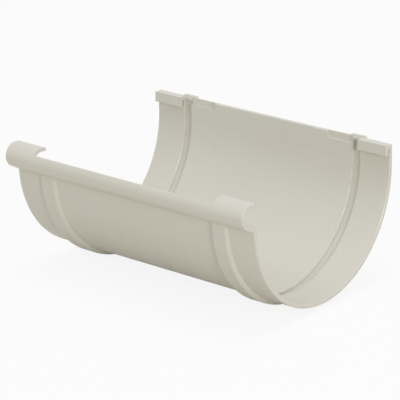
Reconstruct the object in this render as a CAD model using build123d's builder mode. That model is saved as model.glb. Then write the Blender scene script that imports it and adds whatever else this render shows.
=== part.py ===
from build123d import *
import math
import os

os.makedirs("parts", exist_ok=True)

# Gutter union, moulded in one piece. Millimetres. The origin is on the axis
# of the half-round, halfway along it. X runs along the gutter, -Y is the
# front with the rolled bead, +Y is the rear with the hooked lips, Z is up.

# Trough: inner width takes a gutter of about 125 mm.
length = 179.0
bore_radius = 63.4
wall = 2.6
rear_height = 14.9
rear_lean = 0.4

# Front bead: a rolled channel carried on a solid web.
bead_wall = 2.0
bead_radius = 7.5
bead_ahead_of_bore = 5.8
bead_z = 6.0
bead_edge_angle = 140.5
hook_length = 22.0
hook_crest_angle = 90.0
hook_root_overlap = 10.0
hook_tip_run = 4.4
hook_tip_fall = 4.0
tip_round_share = 0.45
web_floor_z = 0.0
web_floor_slope = 24.0
web_under_z = -4.3

# Raised bands, one inboard of each socket, higher under the trough, each with
# a seal groove inside it.
band_mid = 65.0
band_crest_width = 10.0
band_flank_slope = 34.0
band_rise_side = 1.6
band_rise_bottom = 2.6
band_above_rim = 0.5
band_cap_depth = 1.9
groove_mid = 65.3
groove_width = 5.4
groove_depth = 2.3
groove_top_gap = 1.7

# Rear lips that clip over the back edge of the gutter.
lip_length = 21.1
lip_reach = 3.6
lip_thickness = 2.2
lip_drop = 6.6
lip_roof = 2.5

# Thinned lengths of the rear rim beside the bands.
thin_start = 43.5
thin_depth = 1.6
thin_height = 4.5

# Shallow moulding dimples on the web's end faces.
dimple_diameter = 2.4
dimple_depth = 0.4
dimple_ahead_of_bead = 2.6
dimple_under_bead = 4.7

# Rounds and small chamfers.
corner_round = 0.5
inner_round = 1.2
crest_round = 1.5
end_chamfer = 0.35
groove_mouth_chamfer = 0.3

# Overlap between joined forms, how near an edge must be to be picked, and the
# turn that brings a ball's seam to its side.
overlap = 1.0
near = 0.01
seam_turn = 90.0

outer_radius = bore_radius + wall
half_length = length / 2
socket_start = half_length - hook_length
lip_start = half_length - lip_length
rim_inner_y = bore_radius - rear_lean
rim_outer_y = outer_radius - rear_lean
band_drop = band_rise_bottom - band_rise_side
band_radius = outer_radius + band_rise_side
flank_run = band_rise_bottom * math.tan(math.radians(band_flank_slope))
band_foot = band_crest_width / 2 + flank_run
lip_front_y = bore_radius - lip_reach
bead_inner_radius = bead_radius - bead_wall
bead_y = -(bore_radius + bead_ahead_of_bore)
dimple_y = bead_y - dimple_ahead_of_bead
dimple_z = bead_z - dimple_under_bead
dimple_curve = ((dimple_diameter / 2) ** 2 + dimple_depth**2) / (2 * dimple_depth)
groove_radius = bore_radius + groove_depth
groove_top_z = rear_height - groove_top_gap
thin_end = groove_mid - groove_width / 2
hook_root_angle = bead_edge_angle + hook_root_overlap
hook_tip_round = tip_round_share * bead_wall


def on_bead(radius, angle):
    """Point on a circle about the bead's centre, angle from +Y towards +Z."""
    turn = math.radians(angle)
    return (bead_y + radius * math.cos(turn), bead_z + radius * math.sin(turn))


def on_bore(radius, z):
    """Point on the front of the half-round at the given height."""
    return (-math.sqrt(radius**2 - z**2), z)


def line_meets_bead(start, slope, radius):
    """Where a line running forwards and upwards from start meets a bead circle."""
    turn = math.radians(slope)
    direction = (-math.cos(turn), math.sin(turn))
    offset = (start[0] - bead_y, start[1] - bead_z)
    along = offset[0] * direction[0] + offset[1] * direction[1]
    gap = offset[0] ** 2 + offset[1] ** 2 - radius**2
    reach = -along + math.sqrt(along**2 - gap)
    return (start[0] + reach * direction[0], start[1] + reach * direction[1])


def tangent_under_bead(start):
    """Angle at which the lower tangent from start touches the bead's outside."""
    run = start[0] - bead_y
    rise = start[1] - bead_z
    heading = math.degrees(math.atan2(rise, run))
    spread = math.degrees(math.acos(bead_radius / math.hypot(run, rise)))
    return heading - spread


def beside(middle, edge):
    """Distance along the gutter from the nearer of two mirrored middles to the edge."""
    return abs(abs(edge.center().X) - middle)


def reach_of(edge):
    """Greatest distance of the edge's ends from the gutter's middle plane."""
    return max(abs(corner.Y) for corner in edge.vertices())


def is_outline(edge):
    """True for straight edges and wide curves, not for a small corner's arc."""
    return edge.geom_type != GeomType.CIRCLE or edge.length > bead_radius


def is_half_round(edge):
    """True for the long edges that follow the half-round."""
    return edge.length > 2 * bore_radius


floor_start = on_bore(bore_radius, web_floor_z)
floor_end = line_meets_bead(floor_start, web_floor_slope, bead_inner_radius)
floor_end_angle = math.degrees(math.atan2(floor_end[1] - bead_z, floor_end[0] - bead_y)) % 360
under_start = on_bore(outer_radius, web_under_z)
under_angle = tangent_under_bead(under_start) % 360
under_end = on_bead(bead_radius, under_angle)
groove_front = on_bore(groove_radius, -band_drop)
fall = math.radians(hook_tip_fall)
hook_crest_outer = on_bead(bead_radius, hook_crest_angle)
hook_crest_inner = on_bead(bead_inner_radius, hook_crest_angle)
hook_tip_outer = (
    hook_crest_outer[0] + hook_tip_run * math.cos(fall),
    hook_crest_outer[1] - hook_tip_run * math.sin(fall),
)
hook_tip_inner = (
    hook_crest_inner[0] + hook_tip_run * math.cos(fall),
    hook_crest_inner[1] - hook_tip_run * math.sin(fall),
)

# Trough, web and the lower wall of the bead, one profile drawn through. In
# these sketches X is the gutter's Y and Y is its height.
with BuildPart() as trough:
    with BuildSketch(Plane.YZ.offset(-half_length)) as trough_profile:
        with BuildLine():
            Line((rim_inner_y, rear_height), (rim_outer_y, rear_height))
            Line((rim_outer_y, rear_height), (outer_radius, 0))
            ThreePointArc((outer_radius, 0), (0, -outer_radius), under_start)
            Line(under_start, under_end)
            ThreePointArc(
                under_end,
                on_bead(bead_radius, (under_angle + bead_edge_angle) / 2),
                on_bead(bead_radius, bead_edge_angle),
            )
            Line(on_bead(bead_radius, bead_edge_angle), on_bead(bead_inner_radius, bead_edge_angle))
            ThreePointArc(
                on_bead(bead_inner_radius, bead_edge_angle),
                on_bead(bead_inner_radius, (floor_end_angle + bead_edge_angle) / 2),
                floor_end,
            )
            Line(floor_end, floor_start)
            ThreePointArc(floor_start, (0, -bore_radius), (bore_radius, 0))
            Line((bore_radius, 0), (rim_inner_y, rear_height))
        make_face()
        rounded = trough_profile.vertices().filter_by(
            lambda v: v.Y > rear_height - overlap or (v.X < bead_y and v.Y > bead_z + bead_wall)
        )
        fillet(rounded, corner_round)
        softened = trough_profile.vertices().filter_by(
            lambda v: math.dist((v.X, v.Y), floor_end) < overlap / 2
            or math.dist((v.X, v.Y), under_start) < overlap / 2
        )
        fillet(softened, inner_round)
    extrude(amount=length)

# End hooks, the upper wall of the bead over each socket.
with BuildPart() as hooks:
    for start in (-half_length, socket_start):
        with BuildSketch(Plane.YZ.offset(start)) as hook_profile:
            with BuildLine():
                ThreePointArc(
                    on_bead(bead_radius, hook_root_angle),
                    on_bead(bead_radius, (hook_root_angle + hook_crest_angle) / 2),
                    on_bead(bead_radius, hook_crest_angle),
                )
                Line(on_bead(bead_radius, hook_crest_angle), hook_tip_outer)
                Line(hook_tip_outer, hook_tip_inner)
                Line(hook_tip_inner, on_bead(bead_inner_radius, hook_crest_angle))
                ThreePointArc(
                    on_bead(bead_inner_radius, hook_crest_angle),
                    on_bead(bead_inner_radius, (hook_root_angle + hook_crest_angle) / 2),
                    on_bead(bead_inner_radius, hook_root_angle),
                )
                Line(on_bead(bead_inner_radius, hook_root_angle), on_bead(bead_radius, hook_root_angle))
            make_face()
            fillet(hook_profile.vertices().group_by(Axis.X)[-1], hook_tip_round)
        extrude(amount=hook_length)

# Rear lips, an upside-down channel along each socket's rim.
with BuildPart() as lips:
    for start in (-half_length, lip_start):
        with BuildSketch(Plane.YZ.offset(start)) as lip_profile:
            with BuildLine():
                Polyline(
                    (lip_front_y, rear_height),
                    (rim_outer_y - corner_round, rear_height),
                    (rim_outer_y - corner_round, rear_height - lip_roof),
                    (lip_front_y + lip_thickness, rear_height - lip_roof),
                    (lip_front_y + lip_thickness, rear_height - lip_drop),
                    (lip_front_y, rear_height - lip_drop),
                    close=True,
                )
            make_face()
            fillet(lip_profile.vertices().group_by(Axis.Y)[0], corner_round)
        extrude(amount=lip_length)

# Raised bands, closed through the axis and then cleared to the bore.
with BuildPart() as bands:
    for middle in (-band_mid, band_mid):
        for toward, inset in (
            (-band_foot, band_rise_bottom),
            (-band_crest_width / 2, 0),
            (band_crest_width / 2, 0),
            (band_foot, band_rise_bottom),
        ):
            side = band_radius - inset
            crown = rear_height + band_above_rim - inset
            with BuildSketch(Plane.YZ.offset(middle + toward)):
                with BuildLine():
                    Line((side, crown), (side, -band_drop))
                    ThreePointArc(
                        (side, -band_drop), (0, -band_drop - side), (-side, -band_drop)
                    )
                    Line((-side, -band_drop), (0, -band_drop))
                    Line((0, -band_drop), (0, crown))
                    Line((0, crown), (side, crown))
                make_face()
        loft(ruled=True)
    with BuildSketch(Plane.YZ):
        with BuildLine():
            ThreePointArc((-bore_radius, 0), (0, -bore_radius), (bore_radius, 0))
            Polyline(
                (bore_radius, 0),
                (rim_inner_y, rear_height),
                (rim_inner_y + band_cap_depth, rear_height),
                (rim_inner_y + band_cap_depth, rear_height + 2 * band_above_rim),
                (-bore_radius, rear_height + 2 * band_above_rim),
                (-bore_radius, 0),
            )
        make_face()
    extrude(amount=half_length, both=True, mode=Mode.SUBTRACT)

    crests = bands.edges().filter_by(
        lambda e: e.length > 3 * outer_radius
        and abs(beside(band_mid, e) - band_crest_width / 2) < near
    )
    fillet(crests, crest_round)

# The whole moulding.
with BuildPart() as gutter_union:
    add(trough.part)
    add(bands.part)
    add(hooks.part)
    add(lips.part)

    # Grooves inside the bands, closed at the rear rim.
    for middle in (-groove_mid, groove_mid):
        with BuildSketch(Plane.YZ.offset(middle)):
            with BuildLine():
                Line((groove_radius, groove_top_z), (groove_radius, 0))
                ThreePointArc((groove_radius, 0), (0, -groove_radius), groove_front)
                Line(groove_front, (0, groove_front[1]))
                Line((0, groove_front[1]), (0, groove_top_z))
                Line((0, groove_top_z), (groove_radius, groove_top_z))
            make_face()
        extrude(amount=groove_width / 2, both=True, mode=Mode.SUBTRACT)

    # Thinned rim on the middle side of each band.
    with Locations(
        (-(thin_start + thin_end) / 2, rim_inner_y, rear_height),
        ((thin_start + thin_end) / 2, rim_inner_y, rear_height),
    ):
        Box(thin_end - thin_start, 2 * thin_depth, 2 * thin_height, mode=Mode.SUBTRACT)

    # Broken edges on the two open ends.
    for end in (-half_length, half_length):
        rim = gutter_union.edges().filter_by_position(Axis.X, end - near, end + near)
        chamfer(rim.filter_by(is_outline), end_chamfer)

    # Broken edges on the grooves' mouths.
    groove_mouths = gutter_union.edges().filter_by(
        lambda e: is_half_round(e)
        and abs(beside(groove_mid, e) - groove_width / 2) < near
        and abs(reach_of(e) - bore_radius) < overlap
    )
    chamfer(groove_mouths, groove_mouth_chamfer)

    # Dimples in the web's end faces, each the dip that a ball leaves. The ball
    # is turned so that its seam lies clear of the dip.
    ball_middle = half_length + dimple_curve - dimple_depth
    for middle in (-ball_middle, ball_middle):
        with Locations(Location((middle, dimple_y, dimple_z), (0, 0, seam_turn))):
            Sphere(dimple_curve, mode=Mode.SUBTRACT)

gutter_union.part.label = "gutter_union"
export_step(gutter_union.part, "parts/gutter_union.step")
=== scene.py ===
import math

import bpy
from mathutils import Matrix, Vector


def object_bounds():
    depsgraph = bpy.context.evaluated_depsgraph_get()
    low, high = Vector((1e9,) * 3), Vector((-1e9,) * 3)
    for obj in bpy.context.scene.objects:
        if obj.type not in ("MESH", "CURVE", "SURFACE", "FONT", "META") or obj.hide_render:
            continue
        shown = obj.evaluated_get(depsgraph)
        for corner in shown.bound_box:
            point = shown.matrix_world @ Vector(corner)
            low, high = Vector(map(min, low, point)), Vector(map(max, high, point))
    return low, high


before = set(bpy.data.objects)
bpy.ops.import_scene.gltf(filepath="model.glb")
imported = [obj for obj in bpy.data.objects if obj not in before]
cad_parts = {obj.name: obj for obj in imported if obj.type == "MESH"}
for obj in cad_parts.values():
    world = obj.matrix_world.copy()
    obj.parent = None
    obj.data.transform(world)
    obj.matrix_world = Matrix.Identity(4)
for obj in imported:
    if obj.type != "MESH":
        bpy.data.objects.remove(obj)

cad_low, cad_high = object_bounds()

# The camera, where the photograph's was: metres in the row frame, and degrees
# round from the front (-Y) towards +X and down from level. The sensor is in
# millimetres, and the lens is that many sensor widths long.
camera_azimuth = 39.44
camera_elevation = 19.24
camera_place = (0.80608, -0.98403, 0.42178)
sensor_width = 36.0
focal_share = 5.64035

# Sand-coloured moulded plastic. Sizes are metres. The flow marks are four
# times longer along the gutter than across it.
plastic_pale = (0.750, 0.734, 0.664, 1.0)
plastic_deep = (0.724, 0.707, 0.628, 1.0)
plastic_roughness = (0.28, 0.38)
plastic_ior = 1.5
cloud_size = 0.055
cloud_detail = 3.0
flow_size = 0.012
flow_detail = 2.0
flow_stretch = (0.25, 1.0, 1.0)
flow_range = (0.3, 0.7)
grain_size = 0.0009
grain_detail = 2.0
grain_height = 0.00003
grain_strength = 0.5

# The floor lights the object with its own pale colour. Seen directly it is
# white, apart from a small share that shows its light and shadow. In a
# reflection that share is large, as on a real floor.
floor_half_width = 4.0
floor_colour = (0.79, 0.753, 0.67, 1.0)
floor_shown_colour = (0.92, 0.92, 0.92, 1.0)
floor_shadow_share = 0.12
reflected_shadow_share = 0.85

# Surroundings and lamps: watts, and metres in the row frame.
plain_white = (1.0, 1.0, 1.0, 1.0)
world_strength = 0.53
top_strength = 8.0
top_size = 1.0
top_place = (0.1, -0.2, 1.7)
side_strength = 29.5
side_size = 0.8
side_place = (3.0, -1.6, 0.9)


def node_at(tree, kind, x, y):
    """A shader node of that kind at a place on the sheet."""
    made = tree.nodes.new(kind)
    made.location = (x, y)
    return made


def noise_at(tree, x, y, detail):
    """A noise texture of that detail at a place on the sheet."""
    made = node_at(tree, "ShaderNodeTexNoise", x, y)
    made.inputs["Detail"].default_value = detail
    return made


def moulded_surface_group():
    """Group that gives moulded plastic its clouded tint, flow marks and fine grain.

    The tint runs from deep to pale with a broad noise, the roughness from smooth
    to rough with a noise stretched along the gutter, and the height is a fine
    noise. All three read the object's own coordinates.
    """
    group = bpy.data.node_groups.new("moulded_surface", "ShaderNodeTree")
    for name, kind in (
        ("Pale", "NodeSocketColor"),
        ("Deep", "NodeSocketColor"),
        ("Cloud Scale", "NodeSocketFloat"),
        ("Flow Scale", "NodeSocketFloat"),
        ("Grain Scale", "NodeSocketFloat"),
        ("Smooth", "NodeSocketFloat"),
        ("Rough", "NodeSocketFloat"),
    ):
        group.interface.new_socket(name=name, in_out="INPUT", socket_type=kind)
    for name, kind in (
        ("Color", "NodeSocketColor"),
        ("Roughness", "NodeSocketFloat"),
        ("Height", "NodeSocketFloat"),
    ):
        group.interface.new_socket(name=name, in_out="OUTPUT", socket_type=kind)

    entry = node_at(group, "NodeGroupInput", -900, 0)
    place = node_at(group, "ShaderNodeTexCoord", -900, -300)
    cloud = noise_at(group, -600, 200, cloud_detail)
    stretch = node_at(group, "ShaderNodeMapping", -750, -150)
    stretch.inputs["Scale"].default_value = flow_stretch
    flow = noise_at(group, -600, -100, flow_detail)
    grain = noise_at(group, -600, -400, grain_detail)
    tint = node_at(group, "ShaderNodeMix", -250, 200)
    tint.data_type = "RGBA"
    gloss = node_at(group, "ShaderNodeMapRange", -250, -100)
    gloss.inputs["From Min"].default_value = flow_range[0]
    gloss.inputs["From Max"].default_value = flow_range[1]
    leave = node_at(group, "NodeGroupOutput", 100, 0)

    link = group.links.new
    link(place.outputs["Object"], cloud.inputs["Vector"])
    link(place.outputs["Object"], stretch.inputs["Vector"])
    link(stretch.outputs["Vector"], flow.inputs["Vector"])
    link(place.outputs["Object"], grain.inputs["Vector"])
    link(entry.outputs["Cloud Scale"], cloud.inputs["Scale"])
    link(entry.outputs["Flow Scale"], flow.inputs["Scale"])
    link(entry.outputs["Grain Scale"], grain.inputs["Scale"])
    link(cloud.outputs["Fac"], tint.inputs["Factor"])
    link(entry.outputs["Deep"], tint.inputs["A"])
    link(entry.outputs["Pale"], tint.inputs["B"])
    link(flow.outputs["Fac"], gloss.inputs["Value"])
    link(entry.outputs["Smooth"], gloss.inputs["To Min"])
    link(entry.outputs["Rough"], gloss.inputs["To Max"])
    link(tint.outputs["Result"], leave.inputs["Color"])
    link(gloss.outputs["Result"], leave.inputs["Roughness"])
    link(grain.outputs["Fac"], leave.inputs["Height"])
    return group


def sand_plastic(surface_group):
    """Satin plastic with a clouded sand tint, uneven gloss and a fine moulded grain."""
    material = bpy.data.materials.new("sand_plastic_moulded")
    material.use_nodes = True
    tree = material.node_tree
    shader = tree.nodes["Principled BSDF"]
    shader.inputs["IOR"].default_value = plastic_ior
    surface = node_at(tree, "ShaderNodeGroup", -600, 0)
    surface.node_tree = surface_group
    surface.inputs["Pale"].default_value = plastic_pale
    surface.inputs["Deep"].default_value = plastic_deep
    surface.inputs["Cloud Scale"].default_value = 1.0 / cloud_size
    surface.inputs["Flow Scale"].default_value = 1.0 / flow_size
    surface.inputs["Grain Scale"].default_value = 1.0 / grain_size
    surface.inputs["Smooth"].default_value = plastic_roughness[0]
    surface.inputs["Rough"].default_value = plastic_roughness[1]
    bump = node_at(tree, "ShaderNodeBump", -300, -250)
    bump.inputs["Strength"].default_value = grain_strength
    bump.inputs["Distance"].default_value = grain_height

    link = tree.links.new
    link(surface.outputs["Color"], shader.inputs["Base Color"])
    link(surface.outputs["Roughness"], shader.inputs["Roughness"])
    link(surface.outputs["Height"], bump.inputs["Height"])
    link(bump.outputs["Normal"], shader.inputs["Normal"])
    return material


def seen_directly(tree, x, y):
    """1 where the camera, a reflection or a clear surface looks, and otherwise 0.

    It is the largest of Light Path's three marks for those rays.
    """
    path = node_at(tree, "ShaderNodeLightPath", x - 600, y)
    camera_or_shine = node_at(tree, "ShaderNodeMath", x - 350, y)
    camera_or_shine.operation = "MAXIMUM"
    any_of_them = node_at(tree, "ShaderNodeMath", x - 150, y)
    any_of_them.operation = "MAXIMUM"

    link = tree.links.new
    link(path.outputs["Is Camera Ray"], camera_or_shine.inputs[0])
    link(path.outputs["Is Glossy Ray"], camera_or_shine.inputs[1])
    link(camera_or_shine.outputs[0], any_of_them.inputs[0])
    link(path.outputs["Is Transmission Ray"], any_of_them.inputs[1])
    return any_of_them.outputs[0]


def white_floor():
    """White studio floor under the object that keeps a soft part of its shadow."""
    material = bpy.data.materials.new("white_floor")
    material.use_nodes = True
    tree = material.node_tree
    tree.nodes.clear()
    paper = node_at(tree, "ShaderNodeBsdfDiffuse", -400, 100)
    paper.inputs["Color"].default_value = floor_colour
    glow = node_at(tree, "ShaderNodeEmission", -400, -100)
    pale_paper = node_at(tree, "ShaderNodeBsdfDiffuse", -400, -250)
    pale_paper.inputs["Color"].default_value = floor_shown_colour
    path = node_at(tree, "ShaderNodeLightPath", -850, -50)
    shadow_share = node_at(tree, "ShaderNodeMapRange", -600, -50)
    shadow_share.inputs["To Min"].default_value = reflected_shadow_share
    shadow_share.inputs["To Max"].default_value = floor_shadow_share
    shown = node_at(tree, "ShaderNodeMixShader", -150, 0)
    final = node_at(tree, "ShaderNodeMixShader", 100, 0)
    leave = node_at(tree, "ShaderNodeOutputMaterial", 300, 0)

    link = tree.links.new
    link(path.outputs["Is Camera Ray"], shadow_share.inputs["Value"])
    link(shadow_share.outputs["Result"], shown.inputs[0])
    link(glow.outputs[0], shown.inputs[1])
    link(pale_paper.outputs[0], shown.inputs[2])
    link(seen_directly(tree, -50, 350), final.inputs[0])
    link(paper.outputs[0], final.inputs[1])
    link(shown.outputs[0], final.inputs[2])
    link(final.outputs[0], leave.inputs["Surface"])

    height = cad_low.z
    reach = floor_half_width
    corners = [
        (-reach, -reach, height),
        (reach, -reach, height),
        (reach, reach, height),
        (-reach, reach, height),
    ]
    mesh = bpy.data.meshes.new("floor")
    mesh.from_pydata(corners, [], [(0, 1, 2, 3)])
    mesh.materials.append(material)
    floor = bpy.data.objects.new("floor", mesh)
    bpy.context.scene.collection.objects.link(floor)


def white_world():
    """Even white surroundings, shown white and lighting the object at a plain level."""
    world = bpy.data.worlds.new("white_world")
    world.use_nodes = True
    tree = world.node_tree
    tree.nodes.clear()
    light = node_at(tree, "ShaderNodeBackground", -200, 100)
    light.inputs["Color"].default_value = plain_white
    light.inputs["Strength"].default_value = world_strength
    seen = node_at(tree, "ShaderNodeBackground", -200, -100)
    seen.inputs["Color"].default_value = plain_white
    mix = node_at(tree, "ShaderNodeMixShader", 50, 0)
    leave = node_at(tree, "ShaderNodeOutputWorld", 250, 0)

    link = tree.links.new
    link(seen_directly(tree, -50, 350), mix.inputs[0])
    link(light.outputs[0], mix.inputs[1])
    link(seen.outputs[0], mix.inputs[2])
    link(mix.outputs[0], leave.inputs["Surface"])
    bpy.context.scene.world = world


def soft_lamp(name, place, size, strength):
    """One soft square lamp that faces the object."""
    lamp = bpy.data.lights.new(name, "AREA")
    lamp.shape = "SQUARE"
    lamp.size = size
    lamp.energy = strength
    holder = bpy.data.objects.new(name, lamp)
    holder.location = place
    holder.rotation_euler = (-Vector(place)).to_track_quat("-Z", "Y").to_euler()
    bpy.context.scene.collection.objects.link(holder)


def photo_camera():
    """Camera at the photograph's place and angle, level, with its long lens."""
    azimuth = math.radians(camera_azimuth)
    elevation = math.radians(camera_elevation)
    forward = Vector((
        -math.sin(azimuth) * math.cos(elevation),
        math.cos(azimuth) * math.cos(elevation),
        -math.sin(elevation),
    ))
    right = Vector((math.cos(azimuth), math.sin(azimuth), 0.0))
    up = right.cross(forward)
    turn = Matrix((right, up, -forward)).transposed().to_4x4()
    data = bpy.data.cameras.new("camera")
    data.sensor_width = sensor_width
    data.lens = sensor_width * focal_share
    camera = bpy.data.objects.new("camera", data)
    camera.matrix_world = Matrix.Translation(camera_place) @ turn
    bpy.context.scene.collection.objects.link(camera)
    bpy.context.scene.camera = camera


def dress(node, material):
    """Gives a CAD node its finished material as its only one."""
    node.data.materials.clear()
    node.data.materials.append(material)


dress(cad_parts["gutter_union"], sand_plastic(moulded_surface_group()))
white_floor()
white_world()
soft_lamp("top", top_place, top_size, top_strength)
soft_lamp("side", side_place, side_size, side_strength)
photo_camera()
bpy.context.scene.view_settings.view_transform = "Standard"
